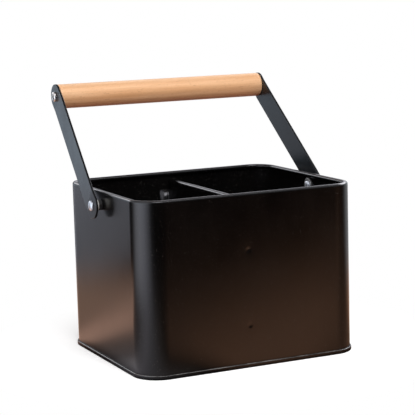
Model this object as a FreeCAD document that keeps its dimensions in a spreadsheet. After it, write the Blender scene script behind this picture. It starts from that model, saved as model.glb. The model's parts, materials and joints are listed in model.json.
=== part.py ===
import FreeCAD, Part
import math
import os
from types import SimpleNamespace

import Sketcher
from FreeCAD import Vector

# Utensil basket: a sheet-steel tin with a double-seamed base, a rolled rim and one divider,
# carried by a bail of two steel straps and a wooden grip.
#
# X runs across the tin, Y from the front wall to the back wall, Z up. The origin is the middle
# of the base, in the plane that the tin stands on. The bail leans back as it is stored.

# Driving dimensions in millimetres and degrees: name, value, meaning
SIZES = [
    ("tin_width", 190.0, "wall, outside, left to right"),
    ("tin_depth", 160.0, "wall, outside, front to back"),
    ("tin_height", 139.0, "standing plane to the top of the rim"),
    ("corner_radius", 21.0, "wall, outside, at the four upright corners"),
    ("wall_sheet", 0.4, "thickness of the wall's sheet"),
    ("rim_roll_radius", 2.0, "outside radius of the rolled rim"),
    ("rim_roll_turn", 270.0, "angle that the rim is rolled through"),
    ("pan_sheet", 0.35, "thickness of the base pan's sheet"),
    ("seam_gap", 0.03, "gap between the layers of the base seam"),
    ("seam_height", 3.3, "standing plane to the top of the base seam"),
    ("seam_toe_radius", 0.7, "outside radius at the foot of the base seam"),
    ("floor_height", 4.0, "standing plane to the underside of the floor's ledge"),
    ("floor_bend_radius", 0.8, "inside radius where the pan turns into its floor"),
    ("ledge_width", 7.0, "flat ledge round the raised floor panel"),
    ("panel_rise", 1.0, "height of the raised floor panel over its ledge"),
    ("panel_border", 2.0, "flat run that joins the ledge's slope to the panel"),
    ("lap_offset", 46.0, "middle of the tin to the wall's side seam, at the back"),
    ("lap_width", 6.0, "overlap of the wall's side seam"),
    ("lap_clearance", 0.4, "from the side seam's lap to the floor and to the rolled rim"),
    ("lap_line_width", 0.6, "joggle line of the side seam on the outside"),
    ("lap_line_depth", 0.12, "depth of that line"),
    ("divider_sheet", 0.5, "thickness of the divider's sheet"),
    ("divider_drop", 6.8, "rim's top down to the divider's top"),
    ("divider_roll_radius", 2.0, "outside radius of the divider's rolled edge"),
    ("divider_roll_turn", 270.0, "angle that the divider's edge is rolled through"),
    ("divider_end_clearance", 0.3, "from the ends of the divider's rolled edge to the walls"),
    ("divider_bend_radius", 1.0, "inside radius of the bends into the two flanges"),
    ("flange_width", 9.0, "flanges that join the divider to the walls"),
    ("flange_drop", 9.0, "divider's top down to the top of its flanges"),
    ("weld_diameter", 4.0, "dent of a spot weld"),
    ("weld_depth", 0.18, "depth of that dent"),
    ("weld_height", 34.0, "standing plane to the lower welds"),
    ("weld_pitch", 60.0, "lower welds to the upper ones"),
    ("pivot_drop", 11.3, "rim's top down to the bail's pivots"),
    ("pin_diameter", 5.0, "shank of a pivot rivet"),
    ("pin_clearance", 0.05, "round that shank, in the strap and in what it passes through"),
    ("spacer_length", 3.0, "spacer between the wall and the washer"),
    ("spacer_diameter", 8.4, "outside of that spacer"),
    ("washer_thickness", 3.0, "washer that the strap turns on"),
    ("washer_diameter", 9.5, "outside of that washer"),
    ("side_play", 0.1, "strap to the washer, and strap to the rivet's head"),
    ("rivet_head_diameter", 8.3, "head of a pivot rivet"),
    ("rivet_head_height", 2.2, "height of that head"),
    ("rivet_head_edge", 0.4, "upright edge of that head, below its dome"),
    ("backing_diameter", 12.0, "backing washer inside the wall"),
    ("backing_thickness", 0.8, "thickness of the backing washer"),
    ("tail_diameter", 7.6, "rivet's closed tail, inside the tin"),
    ("tail_height", 1.5, "height of that tail"),
    ("tail_crown_diameter", 4.8, "flat crown of that tail"),
    ("handle_tilt", 48.5, "lean of the stored bail, back from upright"),
    ("arm_length", 122.0, "pivots to the grip's axis"),
    ("strap_width", 21.0, "width of a strap, and the diameter of its round ends"),
    ("strap_thickness", 1.8, "thickness of a strap"),
    ("strap_flat", 6.5, "from a hole to the bend where the strap starts to lean in"),
    ("grip_diameter", 20.5, "wooden grip"),
    ("grip_length", 190.0, "length of the grip between the straps"),
    ("grip_chamfer", 0.8, "end edges of the grip"),
    ("screw_diameter", 4.0, "shank of a grip screw"),
    ("screw_length", 22.0, "length of a grip screw under its head"),
    ("screw_point", 3.5, "length of its point"),
    ("screw_tip_diameter", 0.8, "blunt tip of that point"),
    ("screw_clearance", 0.3, "round the screw in the strap"),
    ("pilot_clearance", 0.03, "round and beyond the screw in the grip"),
    ("screw_head_diameter", 8.2, "pan head of a grip screw"),
    ("screw_head_height", 2.5, "height of that head"),
    ("screw_head_edge", 1.2, "upright edge of that head"),
    ("screw_crown_diameter", 5.6, "flat crown of that head"),
    ("recess_span", 4.2, "cross recess, end to end"),
    ("recess_width", 1.0, "width of its slots"),
    ("recess_depth", 1.5, "depth of the cross recess"),
]

# The rolled edges and the base seam are bent in flats that turn by this many degrees each.
# Round bends would take four times the triangles at the tin's corners, so flats keep it light.
FLAT = 45
SQUARE = 90

document = FreeCAD.newDocument("UtensilBasket")
sheet = document.addObject("Spreadsheet::Sheet", "Sizes")
for row, (alias, value, meaning) in enumerate(SIZES, start=1):
    sheet.set(f"A{row}", meaning)
    sheet.set(f"B{row}", str(value))
    sheet.setAlias(f"B{row}", alias)
document.recompute()


class Size:
    """A size as a number, with the sheet formula that it follows."""

    def __init__(self, number, formula):
        self.number = number
        self.formula = formula

    @staticmethod
    def of(value):
        return value if isinstance(value, Size) else Size(float(value), str(value))

    def __add__(self, other):
        other = Size.of(other)
        return Size(self.number + other.number, f"({self.formula} + {other.formula})")

    def __sub__(self, other):
        other = Size.of(other)
        return Size(self.number - other.number, f"({self.formula} - {other.formula})")

    def __mul__(self, other):
        other = Size.of(other)
        return Size(self.number * other.number, f"{self.formula} * {other.formula}")

    def __truediv__(self, other):
        other = Size.of(other)
        return Size(self.number / other.number, f"({self.formula} / ({other.formula}))")

    def __neg__(self):
        return Size(-self.number, f"(0 - {self.formula})")


def sine(angle):
    return Size(math.sin(math.radians(angle.number)), f"sin({angle.formula})")


def cosine(angle):
    return Size(math.cos(math.radians(angle.number)), f"cos({angle.formula})")


def root(value):
    return Size(math.sqrt(value.number), f"sqrt({value.formula})")


size = SimpleNamespace(**{alias: Size(value, f"Sizes.{alias}") for alias, value, _ in SIZES})
ZERO = Size(0.0, "0")


# Sketches and features

def new_body(label):
    body = document.addObject("PartDesign::Body", label)
    body.Label = label
    return body


def origin_plane(body, role):
    return [feature for feature in body.Origin.OriginFeatures if feature.Role == role][0]


def new_sketch(body, name, role, offset=(ZERO, ZERO, ZERO)):
    """A sketch in an origin plane of the body, moved by an offset in that plane's own axes."""
    sketch = body.newObject("Sketcher::SketchObject", name)
    sketch.AttachmentSupport = (origin_plane(body, role), "")
    sketch.MapMode = "FlatFace"
    for axis, distance in zip("xyz", offset):
        if distance is not ZERO:
            sketch.setExpression(f"AttachmentOffset.Base.{axis}", distance.formula)
    return sketch


def hold(sketch, kind, geometry, point, distance):
    """Keep one coordinate of a point at a size from the sheet."""
    rule = Sketcher.Constraint(kind, -1, 1, geometry, point, distance.number)
    index = sketch.addConstraint(rule)
    if distance is not ZERO:
        sketch.setExpression(f"Constraints[{index}]", distance.formula)


def line_to(x, y):
    return SimpleNamespace(x=Size.of(x), y=Size.of(y), centre=None)


def arc_to(x, y, centre_x, centre_y, turn):
    """An arc to (x, y) round a centre, where turn is 1 anticlockwise and -1 clockwise."""
    centre = (Size.of(centre_x), Size.of(centre_y))
    return SimpleNamespace(x=Size.of(x), y=Size.of(y), centre=centre, turn=turn)


def outline(sketch, steps):
    """Draw a closed outline of lines and arcs, every corner held by the sheet.

    The outline starts where the last step ends.
    """
    first_ends = []
    last_ends = []
    for previous, step in zip([steps[-1]] + steps[:-1], steps):
        start = Vector(previous.x.number, previous.y.number, 0)
        end = Vector(step.x.number, step.y.number, 0)
        if step.centre is None:
            index = sketch.addGeometry(Part.LineSegment(start, end))
            first_ends.append((index, 1))
            last_ends.append((index, 2))
        else:
            centre = Vector(step.centre[0].number, step.centre[1].number, 0)
            low, high = (start, end) if step.turn > 0 else (end, start)
            low_angle = math.atan2(low.y - centre.y, low.x - centre.x)
            high_angle = math.atan2(high.y - centre.y, high.x - centre.x)
            if high_angle <= low_angle:
                high_angle += 2 * math.pi
            circle = Part.Circle(centre, Vector(0, 0, 1), (start - centre).Length)
            index = sketch.addGeometry(Part.ArcOfCircle(circle, low_angle, high_angle))
            first_ends.append((index, 1 if step.turn > 0 else 2))
            last_ends.append((index, 2 if step.turn > 0 else 1))
    for number, step in enumerate(steps):
        index, point = last_ends[number]
        following = first_ends[(number + 1) % len(steps)]
        sketch.addConstraint(Sketcher.Constraint("Coincident", index, point, *following))
        hold(sketch, "DistanceX", index, point, step.x)
        hold(sketch, "DistanceY", index, point, step.y)
        if step.centre is not None:
            previous = steps[number - 1]
            chord_x = abs(step.x.number - previous.x.number)
            chord_y = abs(step.y.number - previous.y.number)
            if chord_x >= chord_y:
                hold(sketch, "DistanceY", index, 3, step.centre[1])
            else:
                hold(sketch, "DistanceX", index, 3, step.centre[0])


def bend(centre_x, centre_y, radius, start, end, step):
    """The corners of a bend drawn in flats that touch its circle.

    The first and the last flat run on into the straight sheet before and after the bend.
    """
    start = Size.of(start)
    turn = Size.of(end) - start
    count = round(abs(turn.number) / step)
    corner_radius = radius / cosine(turn / (count * 2))
    corners = []
    for number in range(count):
        angle = start + turn * (number + 0.5) / count
        x = centre_x + corner_radius * cosine(angle)
        corners.append(line_to(x, centre_y + corner_radius * sine(angle)))
    return corners


def circle(sketch, x, y, diameter):
    """Draw a circle whose centre and diameter follow the sheet."""
    centre = Vector(x.number, y.number, 0)
    index = sketch.addGeometry(Part.Circle(centre, Vector(0, 0, 1), diameter.number / 2))
    hold(sketch, "DistanceX", index, 3, x)
    hold(sketch, "DistanceY", index, 3, y)
    rule = sketch.addConstraint(Sketcher.Constraint("Diameter", index, diameter.number))
    sketch.setExpression(f"Constraints[{rule}]", diameter.formula)


def rounded_rectangle(sketch, half_x, half_y, radius):
    """Draw a rectangle with round corners, centred, that starts in the middle of its +X side."""
    in_x = half_x - radius
    in_y = half_y - radius
    outline(sketch, [
        line_to(half_x, in_y),
        arc_to(in_x, half_y, in_x, in_y, 1),
        line_to(-in_x, half_y),
        arc_to(-half_x, in_y, -in_x, in_y, 1),
        line_to(-half_x, -in_y),
        arc_to(-in_x, -half_y, -in_x, -in_y, 1),
        line_to(in_x, -half_y),
        arc_to(half_x, -in_y, in_x, -in_y, 1),
        line_to(half_x, ZERO),
    ])


def pad(body, name, sketch, length, symmetric=False):
    feature = body.newObject("PartDesign::Pad", name)
    feature.Profile = sketch
    feature.SideType = "Symmetric" if symmetric else "One side"
    feature.setExpression("Length", length.formula)
    return feature


def pocket_through(body, name, sketch):
    """Cut a sketch through the whole body, on both sides of its plane."""
    feature = body.newObject("PartDesign::Pocket", name)
    feature.Profile = sketch
    feature.SideType = "Symmetric"
    feature.Type = "ThroughAll"
    return feature


def turned(body, name, sketch, kind="PartDesign::Revolution", axis="H_Axis"):
    """Turn a sketch a full circle about one of its own axes."""
    feature = body.newObject(kind, name)
    feature.Profile = sketch
    feature.ReferenceAxis = (sketch, [axis])
    return feature


def pipe(body, name, section, spine):
    """Run a section round a closed path in the XY plane."""
    feature = body.newObject("PartDesign::AdditivePipe", name)
    feature.Profile = section
    feature.Spine = (spine, [])
    return feature


def mirror(body, name, feature):
    """Mirror a feature from the right to the left of the tin."""
    mirrored = body.newObject("PartDesign::Mirrored", name)
    mirrored.Originals = [feature]
    mirrored.MirrorPlane = (origin_plane(body, "YZ_Plane"), [""])
    body.Tip = mirrored
    return mirrored


def place(body, x, y, z, lean=ZERO, half_turn=False):
    """Put a body in the frame: leant back from upright, and for the left turned about Z."""
    for axis, distance in zip("xyz", (x, y, z)):
        if distance is not ZERO:
            body.setExpression(f"Placement.Base.{axis}", distance.formula)
    if half_turn:
        turns = f"rotation(180; 0; {lean.formula})"
    else:
        turns = f"rotation(0; 0; {(-lean).formula})"
    body.setExpression("Placement.Rotation", turns)


# Sizes that several pieces share

half_width = size.tin_width / 2
half_depth = size.tin_depth / 2
pivot_height = size.tin_height - size.pivot_drop
hole_diameter = size.pin_diameter + size.pin_clearance * 2
panel_underside = size.floor_height + size.panel_rise
floor_top = panel_underside + size.pan_sheet
inside_depth = half_depth - size.wall_sheet

# Base seam, from the wall outwards: wall, cover hook, body hook, seaming wall
cover_inner = half_width + size.seam_gap
cover_outer = cover_inner + size.pan_sheet
hook_inner = cover_outer + size.seam_gap
hook_outer = hook_inner + size.wall_sheet
seaming_inner = hook_outer + size.seam_gap
seaming_outer = seaming_inner + size.pan_sheet
hook_bend = (hook_inner - half_width) / 2
hook_fold_z = size.pan_sheet + size.seam_gap + size.wall_sheet + hook_bend
cover_bend = (seaming_outer - cover_inner) / 2
cover_fold_z = size.seam_height - cover_bend

# Bail, measured from the pivots with the straps upright
strap_face = half_width + size.spacer_length + size.washer_thickness + size.side_play
grip_end = size.grip_length / 2
grip_y = size.arm_length * sine(size.handle_tilt)
grip_z = pivot_height + size.arm_length * cosine(size.handle_tilt)


# Wall: one sheet, rolled in at the rim and hooked outwards in the base seam

def make_wall():
    body = new_body("tin_wall")
    spine = new_sketch(body, "WallPath", "XY_Plane")
    rounded_rectangle(spine, half_width, half_depth, size.corner_radius)

    roll_x = half_width - size.rim_roll_radius
    roll_z = size.tin_height - size.rim_roll_radius
    bore = size.rim_roll_radius - size.wall_sheet
    turn = size.rim_roll_turn
    fold_x = half_width + hook_bend
    section = new_sketch(body, "WallSection", "XZ_Plane")
    outline(section, [
        *bend(roll_x, roll_z, size.rim_roll_radius, 0, turn, FLAT),
        line_to(roll_x + size.rim_roll_radius * cosine(turn),
                roll_z + size.rim_roll_radius * sine(turn)),
        line_to(roll_x + bore * cosine(turn), roll_z + bore * sine(turn)),
        *bend(roll_x, roll_z, bore, turn, 0, FLAT),
        *bend(fold_x, hook_fold_z, hook_outer - fold_x, 180, 360, FLAT),
        line_to(hook_outer, cover_fold_z),
        line_to(hook_inner, cover_fold_z),
        *bend(fold_x, hook_fold_z, hook_bend, 360, 180, SQUARE),
    ])
    pipe(body, "WallSheet", section, spine)
    add_side_seam(body)
    add_weld_dents(body)
    pivots = new_sketch(body, "PivotHoleSketch", "YZ_Plane")
    circle(pivots, ZERO, pivot_height, hole_diameter)
    pocket_through(body, "PivotHoles", pivots)
    return body


def add_side_seam(body):
    """The lap that closes the wall at the back: a strip inside and a fine line outside."""
    lap_bottom = floor_top + size.lap_clearance
    lap_top = size.tin_height - size.rim_roll_radius * 2 - size.lap_clearance
    lap_end = size.lap_offset + size.lap_width
    lap = new_sketch(body, "LapSketch", "XY_Plane", (ZERO, ZERO, lap_bottom))
    outline(lap, [
        line_to(lap_end, inside_depth - size.wall_sheet),
        line_to(lap_end, inside_depth),
        line_to(size.lap_offset, inside_depth),
        line_to(size.lap_offset, inside_depth - size.wall_sheet),
    ])
    pad(body, "Lap", lap, lap_top - lap_bottom)

    line_end = size.lap_offset + size.lap_line_width
    line_low = size.seam_height + size.lap_clearance
    beyond = half_depth + size.lap_line_depth
    line = new_sketch(body, "LapLineSketch", "XY_Plane", (ZERO, ZERO, line_low))
    outline(line, [
        line_to(line_end, half_depth - size.lap_line_depth),
        line_to(line_end, beyond),
        line_to(size.lap_offset, beyond),
        line_to(size.lap_offset, half_depth - size.lap_line_depth),
    ])
    groove = body.newObject("PartDesign::Pocket", "LapLine")
    groove.Profile = line
    groove.Reversed = True
    groove.setExpression("Length", (lap_top - line_low).formula)


def add_weld_dents(body):
    """Two shallow round dents, one over the other, where each flange is welded to its wall."""
    radius = size.weld_diameter / 2
    ball = (radius * radius + size.weld_depth * size.weld_depth) / (size.weld_depth * 2)
    weld_x = size.divider_sheet / 2 - size.flange_width / 2
    for name, side in (("Front", -1), ("Back", 1)):
        wall_y = half_depth * side
        sketch = new_sketch(body, f"{name}DentSketch", "XY_Plane",
                            (weld_x, wall_y, size.weld_height))
        inward = size.weld_depth * -side
        outward = size.weld_depth * side
        outline(sketch, [
            arc_to(ZERO, inward, ZERO, inward + ball * side, -side),
            line_to(ZERO, outward),
            line_to(radius, outward),
            line_to(radius, ZERO),
        ])
        dent = turned(body, f"{name}Dent", sketch, "PartDesign::Groove", "V_Axis")
        row = body.newObject("PartDesign::LinearPattern", f"{name}Dents")
        row.Originals = [dent]
        row.Direction = (sketch, ["N_Axis"])
        row.setExpression("Length", size.weld_pitch.formula)
        row.Occurrences = 2
        body.Tip = row


# Base pan: floor, chuck wall, foot, seaming wall and cover hook in one sheet

def make_pan():
    body = new_body("base_pan")
    spine = new_sketch(body, "PanPath", "XY_Plane")
    rounded_rectangle(spine, half_width, half_depth, size.corner_radius)

    chuck_outer = half_width - size.wall_sheet - size.seam_gap
    chuck_inner = chuck_outer - size.pan_sheet
    toe = size.seam_toe_radius
    toe_bore = toe - size.pan_sheet
    fold_x = cover_inner + cover_bend
    bend_x = chuck_inner - size.floor_bend_radius
    bend_z = size.floor_height - size.floor_bend_radius
    ledge_top = size.floor_height + size.pan_sheet
    slope_x = bend_x - size.ledge_width
    panel_x = slope_x - size.panel_rise
    # Along a slope of 45 degrees, the sheet's upper corners stand this much further out
    slope_shift = size.pan_sheet * (root(Size.of(2)) - 1)
    border_x = panel_x - size.panel_border
    section = new_sketch(body, "PanSection", "XZ_Plane")
    outline(section, [
        line_to(panel_x, panel_underside),
        line_to(slope_x, size.floor_height),
        *bend(bend_x, bend_z, size.floor_bend_radius, 90, 0, SQUARE),
        *bend(chuck_inner + toe, toe, toe, 180, 270, SQUARE),
        *bend(seaming_outer - toe, toe, toe, 270, 360, FLAT),
        *bend(fold_x, cover_fold_z, cover_bend, 0, 180, FLAT),
        line_to(cover_inner, hook_fold_z),
        line_to(cover_outer, hook_fold_z),
        *bend(fold_x, cover_fold_z, seaming_inner - fold_x, 180, 0, SQUARE),
        *bend(seaming_inner - toe_bore, toe, toe_bore, 360, 270, FLAT),
        *bend(chuck_outer + toe_bore, toe, toe_bore, 270, 180, SQUARE),
        *bend(bend_x, bend_z, size.floor_bend_radius + size.pan_sheet, 0, 90, SQUARE),
        line_to(slope_x + slope_shift, ledge_top),
        line_to(panel_x + slope_shift, floor_top),
        line_to(border_x, floor_top),
        line_to(border_x, panel_underside),
    ])
    pipe(body, "PanRing", section, spine)

    panel = new_sketch(body, "PanelSketch", "XY_Plane", (ZERO, ZERO, panel_underside))
    inset = half_width - border_x
    rounded_rectangle(panel, border_x, half_depth - inset, size.corner_radius - inset)
    pad(body, "Panel", panel, size.pan_sheet)
    return body


# Divider: a web with a rolled top edge and a flange bent along each wall

def make_divider():
    body = new_body("divider")
    sheet_half = size.divider_sheet / 2
    flange_inner = inside_depth - size.divider_sheet
    bend_x = -sheet_half - size.divider_bend_radius
    bend_y = flange_inner - size.divider_bend_radius
    flange_end = sheet_half - size.flange_width
    divider_top = size.tin_height - size.divider_drop
    flange_top = divider_top - size.flange_drop
    plan = new_sketch(body, "DividerPlan", "XY_Plane", (ZERO, ZERO, floor_top))
    outline(plan, [
        line_to(sheet_half, bend_y),
        arc_to(bend_x, inside_depth, bend_x, bend_y, 1),
        line_to(flange_end, inside_depth),
        line_to(flange_end, flange_inner),
        line_to(bend_x, flange_inner),
        arc_to(-sheet_half, bend_y, bend_x, bend_y, -1),
        line_to(-sheet_half, -bend_y),
        arc_to(bend_x, -flange_inner, bend_x, -bend_y, -1),
        line_to(flange_end, -flange_inner),
        line_to(flange_end, -inside_depth),
        line_to(bend_x, -inside_depth),
        arc_to(sheet_half, -bend_y, bend_x, -bend_y, 1),
    ])
    pad(body, "WebAndFlanges", plan, flange_top - floor_top)

    roll = size.divider_roll_radius
    roll_x = roll - sheet_half
    roll_z = divider_top - roll
    first = Size.of(180)
    last = first - size.divider_roll_turn
    bore = roll - size.divider_sheet
    edge = new_sketch(body, "DividerEdge", "XZ_Plane")
    outline(edge, [
        line_to(-sheet_half, flange_top),
        *bend(roll_x, roll_z, roll, first, last, FLAT),
        line_to(roll_x + roll * cosine(last), roll_z + roll * sine(last)),
        line_to(roll_x + bore * cosine(last), roll_z + bore * sine(last)),
        *bend(roll_x, roll_z, bore, last, first, FLAT),
        line_to(sheet_half, flange_top),
    ])
    pad(body, "RolledEdge", edge, (inside_depth - size.divider_end_clearance) * 2, symmetric=True)
    return body


# Bail pivots: the same stack on both sides of the tin, drawn from the wall outwards along X

def make_rivets():
    """Both rivets: the right one is drawn, and mirrored to the left."""
    body = new_body("pivot_rivets")
    body.AllowCompound = True
    inside = -(size.wall_sheet + size.backing_thickness)
    head = strap_face - half_width + size.strap_thickness + size.side_play
    shank = size.pin_diameter / 2
    head_radius = size.rivet_head_diameter / 2
    crown = head + size.rivet_head_height
    rise = size.rivet_head_height - size.rivet_head_edge
    ball = (head_radius * head_radius + rise * rise) / (rise * 2)
    tail_end = inside - size.tail_height
    section = new_sketch(body, "RivetSection", "XZ_Plane", (half_width, pivot_height, ZERO))
    outline(section, [
        line_to(tail_end, ZERO),
        line_to(tail_end, size.tail_crown_diameter / 2),
        line_to(inside, size.tail_diameter / 2),
        line_to(inside, shank),
        line_to(head, shank),
        line_to(head, head_radius),
        line_to(head + size.rivet_head_edge, head_radius),
        arc_to(crown, ZERO, crown - ball, ZERO, -1),
    ])
    rivet = turned(body, "Rivet", section)
    mirror(body, "BothRivets", rivet)
    return body


def make_ring(label, start, length, diameter):
    """A plain ring round the rivet's shank, from start outwards."""
    body = new_body(label)
    sketch = new_sketch(body, f"{label}_rings", "YZ_Plane", (ZERO, ZERO, start))
    circle(sketch, ZERO, ZERO, diameter)
    circle(sketch, ZERO, ZERO, hole_diameter)
    pad(body, f"{label}_pad", sketch, length)
    return body


def make_pivot_rings(side):
    rings = [
        make_ring(f"pivot_spacer_{side}", ZERO, size.spacer_length, size.spacer_diameter),
        make_ring(f"pivot_washer_{side}", size.spacer_length, size.washer_thickness,
                  size.washer_diameter),
        make_ring(f"backing_washer_{side}", -(size.wall_sheet + size.backing_thickness),
                  size.backing_thickness, size.backing_diameter),
    ]
    for ring in rings:
        if side == "left":
            place(ring, -half_width, ZERO, pivot_height, half_turn=True)
        else:
            place(ring, half_width, ZERO, pivot_height)
    return rings


# Bail: drawn upright about its pivots on the right, then leant back

def make_strap(side):
    """A flat strap with round ends, seated square on the washer and on the grip's end.

    It leans in between two slight bends, because the grip is shorter than the pivots' span.
    """
    label = f"strap_{side}"
    body = new_body(label)
    low = size.strap_flat
    high = size.arm_length - size.strap_flat
    lean = (strap_face - grip_end) / (high - low)
    # The outer face bends a little further up than the inner one
    bend_shift = size.strap_thickness * lean / (root(lean * lean + 1) + 1)
    end = size.strap_width / 2
    bottom = -end
    top = size.arm_length + end
    section = new_sketch(body, f"{label}_section", "XZ_Plane")
    outline(section, [
        line_to(strap_face, bottom),
        line_to(strap_face + size.strap_thickness, bottom),
        line_to(strap_face + size.strap_thickness, low + bend_shift),
        line_to(grip_end + size.strap_thickness, high + bend_shift),
        line_to(grip_end + size.strap_thickness, top),
        line_to(grip_end, top),
        line_to(grip_end, high),
        line_to(strap_face, low),
    ])
    pad(body, f"{label}_bar", section, size.strap_width, symmetric=True)

    ends = new_sketch(body, f"{label}_round_ends", "YZ_Plane")
    outline(ends, [
        line_to(end * 2, bottom * 2),
        line_to(end * 2, top + end),
        line_to(-end * 2, top + end),
        line_to(-end * 2, bottom * 2),
    ])
    outline(ends, [
        line_to(end, size.arm_length),
        arc_to(-end, size.arm_length, ZERO, size.arm_length, 1),
        line_to(-end, ZERO),
        arc_to(end, ZERO, ZERO, ZERO, 1),
    ])
    pocket_through(body, f"{label}_ends", ends)
    holes = new_sketch(body, f"{label}_hole_sketch", "YZ_Plane")
    circle(holes, ZERO, ZERO, hole_diameter)
    circle(holes, ZERO, size.arm_length, size.screw_diameter + size.screw_clearance * 2)
    pocket_through(body, f"{label}_holes", holes)
    place(body, ZERO, ZERO, pivot_height, size.handle_tilt, half_turn=side == "left")
    return body


def make_grip():
    """The turned wooden grip, with a pilot hole for a screw in each end."""
    body = new_body("grip")
    radius = size.grip_diameter / 2
    pilot = size.screw_diameter / 2 + size.pilot_clearance
    screw_depth = size.screw_length - size.strap_thickness
    pilot_end = grip_end - screw_depth - size.pilot_clearance
    section = new_sketch(body, "GripSection", "XZ_Plane")
    outline(section, [
        line_to(pilot_end, ZERO),
        line_to(pilot_end, pilot),
        line_to(grip_end, pilot),
        line_to(grip_end, radius - size.grip_chamfer),
        line_to(grip_end - size.grip_chamfer, radius),
        line_to(-(grip_end - size.grip_chamfer), radius),
        line_to(-grip_end, radius - size.grip_chamfer),
        line_to(-grip_end, pilot),
        line_to(-pilot_end, pilot),
        line_to(-pilot_end, ZERO),
    ])
    turned(body, "GripTurned", section)
    place(body, ZERO, grip_y, grip_z, size.handle_tilt)
    return body


def make_screws():
    """Both pan-head wood screws, the right one drawn from the strap's outer face outwards."""
    body = new_body("grip_screws")
    body.AllowCompound = True
    seat = grip_end + size.strap_thickness
    shank = size.screw_diameter / 2
    head = size.screw_head_diameter / 2
    section = new_sketch(body, "ScrewSection", "XZ_Plane", (seat, ZERO, ZERO))
    outline(section, [
        line_to(-size.screw_length, ZERO),
        line_to(-size.screw_length, size.screw_tip_diameter / 2),
        line_to(size.screw_point - size.screw_length, shank),
        line_to(ZERO, shank),
        line_to(ZERO, head),
        line_to(size.screw_head_edge, head),
        line_to(size.screw_head_height, size.screw_crown_diameter / 2),
        line_to(size.screw_head_height, ZERO),
    ])
    screw = turned(body, "Screw", section)
    mirror(body, "BothScrews", screw)

    arm = size.recess_span / 2
    slot = size.recess_width / 2
    cross = new_sketch(body, "RecessSketch", "YZ_Plane",
                       (ZERO, ZERO, seat + size.screw_head_height))
    outline(cross, [
        line_to(arm, -slot),
        line_to(arm, slot),
        line_to(slot, slot),
        line_to(slot, arm),
        line_to(-slot, arm),
        line_to(-slot, slot),
        line_to(-arm, slot),
        line_to(-arm, -slot),
        line_to(-slot, -slot),
        line_to(-slot, -arm),
        line_to(slot, -arm),
        line_to(slot, -slot),
    ])
    recess = body.newObject("PartDesign::Pocket", "Recess")
    recess.Profile = cross
    recess.setExpression("Length", size.recess_depth.formula)
    mirror(body, "BothRecesses", recess)
    place(body, ZERO, grip_y, grip_z, size.handle_tilt)
    return body


def check_document():
    """Stop if any object failed, before a file is written."""
    for item in document.Objects:
        for word in ("Invalid", "Error"):
            if word in item.State:
                raise RuntimeError(f"{item.Label} is {item.State}")


def write_parts(pieces):
    """Write each piece's own file, once its solids are found sound and as many as expected."""
    os.makedirs("parts", exist_ok=True)
    for body, solids in pieces:
        shape = body.Shape
        if shape.isNull() or not shape.isValid() or len(shape.Solids) != solids:
            raise RuntimeError(f"{body.Label} isn't {solids} valid solids")
        shape.exportStep(os.path.join("parts", f"{body.Label}.step"))
        print(f"{body.Label}: {shape.Volume:.1f} cubic mm")


pieces = [(make_wall(), 1), (make_pan(), 1), (make_divider(), 1), (make_rivets(), 2)]
for side in ("left", "right"):
    pieces += [(ring, 1) for ring in make_pivot_rings(side)]
    pieces.append((make_strap(side), 1))
pieces += [(make_grip(), 1), (make_screws(), 2)]
document.recompute()
check_document()
write_parts(pieces)
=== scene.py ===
import json
import math

import bmesh
import bpy
from mathutils import Matrix, Vector


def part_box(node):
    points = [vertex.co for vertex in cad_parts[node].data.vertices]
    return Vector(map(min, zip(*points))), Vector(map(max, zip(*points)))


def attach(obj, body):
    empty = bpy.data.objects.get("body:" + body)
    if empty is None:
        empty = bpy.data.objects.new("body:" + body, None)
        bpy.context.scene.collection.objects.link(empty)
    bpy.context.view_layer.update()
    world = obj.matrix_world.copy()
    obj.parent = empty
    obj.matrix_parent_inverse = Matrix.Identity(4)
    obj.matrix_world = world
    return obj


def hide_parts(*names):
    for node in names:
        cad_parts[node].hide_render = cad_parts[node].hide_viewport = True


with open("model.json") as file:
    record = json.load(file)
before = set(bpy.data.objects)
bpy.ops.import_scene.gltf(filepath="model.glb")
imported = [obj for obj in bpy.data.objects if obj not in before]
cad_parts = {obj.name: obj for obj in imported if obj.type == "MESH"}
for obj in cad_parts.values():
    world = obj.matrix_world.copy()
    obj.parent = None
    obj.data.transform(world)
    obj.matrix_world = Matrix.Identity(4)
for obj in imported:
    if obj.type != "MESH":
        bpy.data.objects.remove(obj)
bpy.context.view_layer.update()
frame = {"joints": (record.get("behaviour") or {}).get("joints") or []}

# Lengths below are in millimetres, in the CAD frame, and become metres when a mesh is made.
MM = 0.001


def lowest(node):
    """The lowest corner of a CAD node."""
    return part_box(node)[0] / MM


def highest(node):
    """The highest corner of a CAD node."""
    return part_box(node)[1] / MM


# The sheets, their roundings and the gaps between them
WALL = 0.4
CORNER = 21.0
RIM = 2.0
PAN = 0.35
PANEL_RISE = 1.0
FLOOR_BEND = 0.8
DIVIDER = 0.5
DIVIDER_ROLL = 2.0
DIVIDER_BEND = 1.0
FLANGE_TOP = 123.2
STRAP = 1.8
STRAP_END = 10.5
STRAP_BEND = 6.5

# The base seam. The wall's foot is bent outwards and up inside the folded edge of the pan
SEAM_GAP = 0.03
SEAM_TOP = 3.3
TOE = 0.7
HOOK_BEND = SEAM_GAP + PAN / 2
HOOK_Z = PAN + SEAM_GAP + WALL + HOOK_BEND

# The wall's lap at the back, and the spot welds of the divider's flanges
LAP_START, LAP_END = 46.0, 52.0
LAP_LOW, LAP_HIGH = 5.75, 134.6
LAP_LINE = 0.6
LAP_LINE_DEPTH = 0.12
WELD_X = -4.25
WELD_HEIGHTS = (34.0, 94.0)
WELD_RADIUS = 3.0
WELD_DEPTH = 0.23
SAG_RADIUS = 5.5
SAG_DEPTH = 0.09

# The pivots, drawn from the wall's outer face outwards
PIN = 2.5
HOLE = 2.55
BACKING = 0.8
TAIL_RADIUS = 3.8
TAIL_HEIGHT = 1.5
DOME = 1.8

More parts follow.
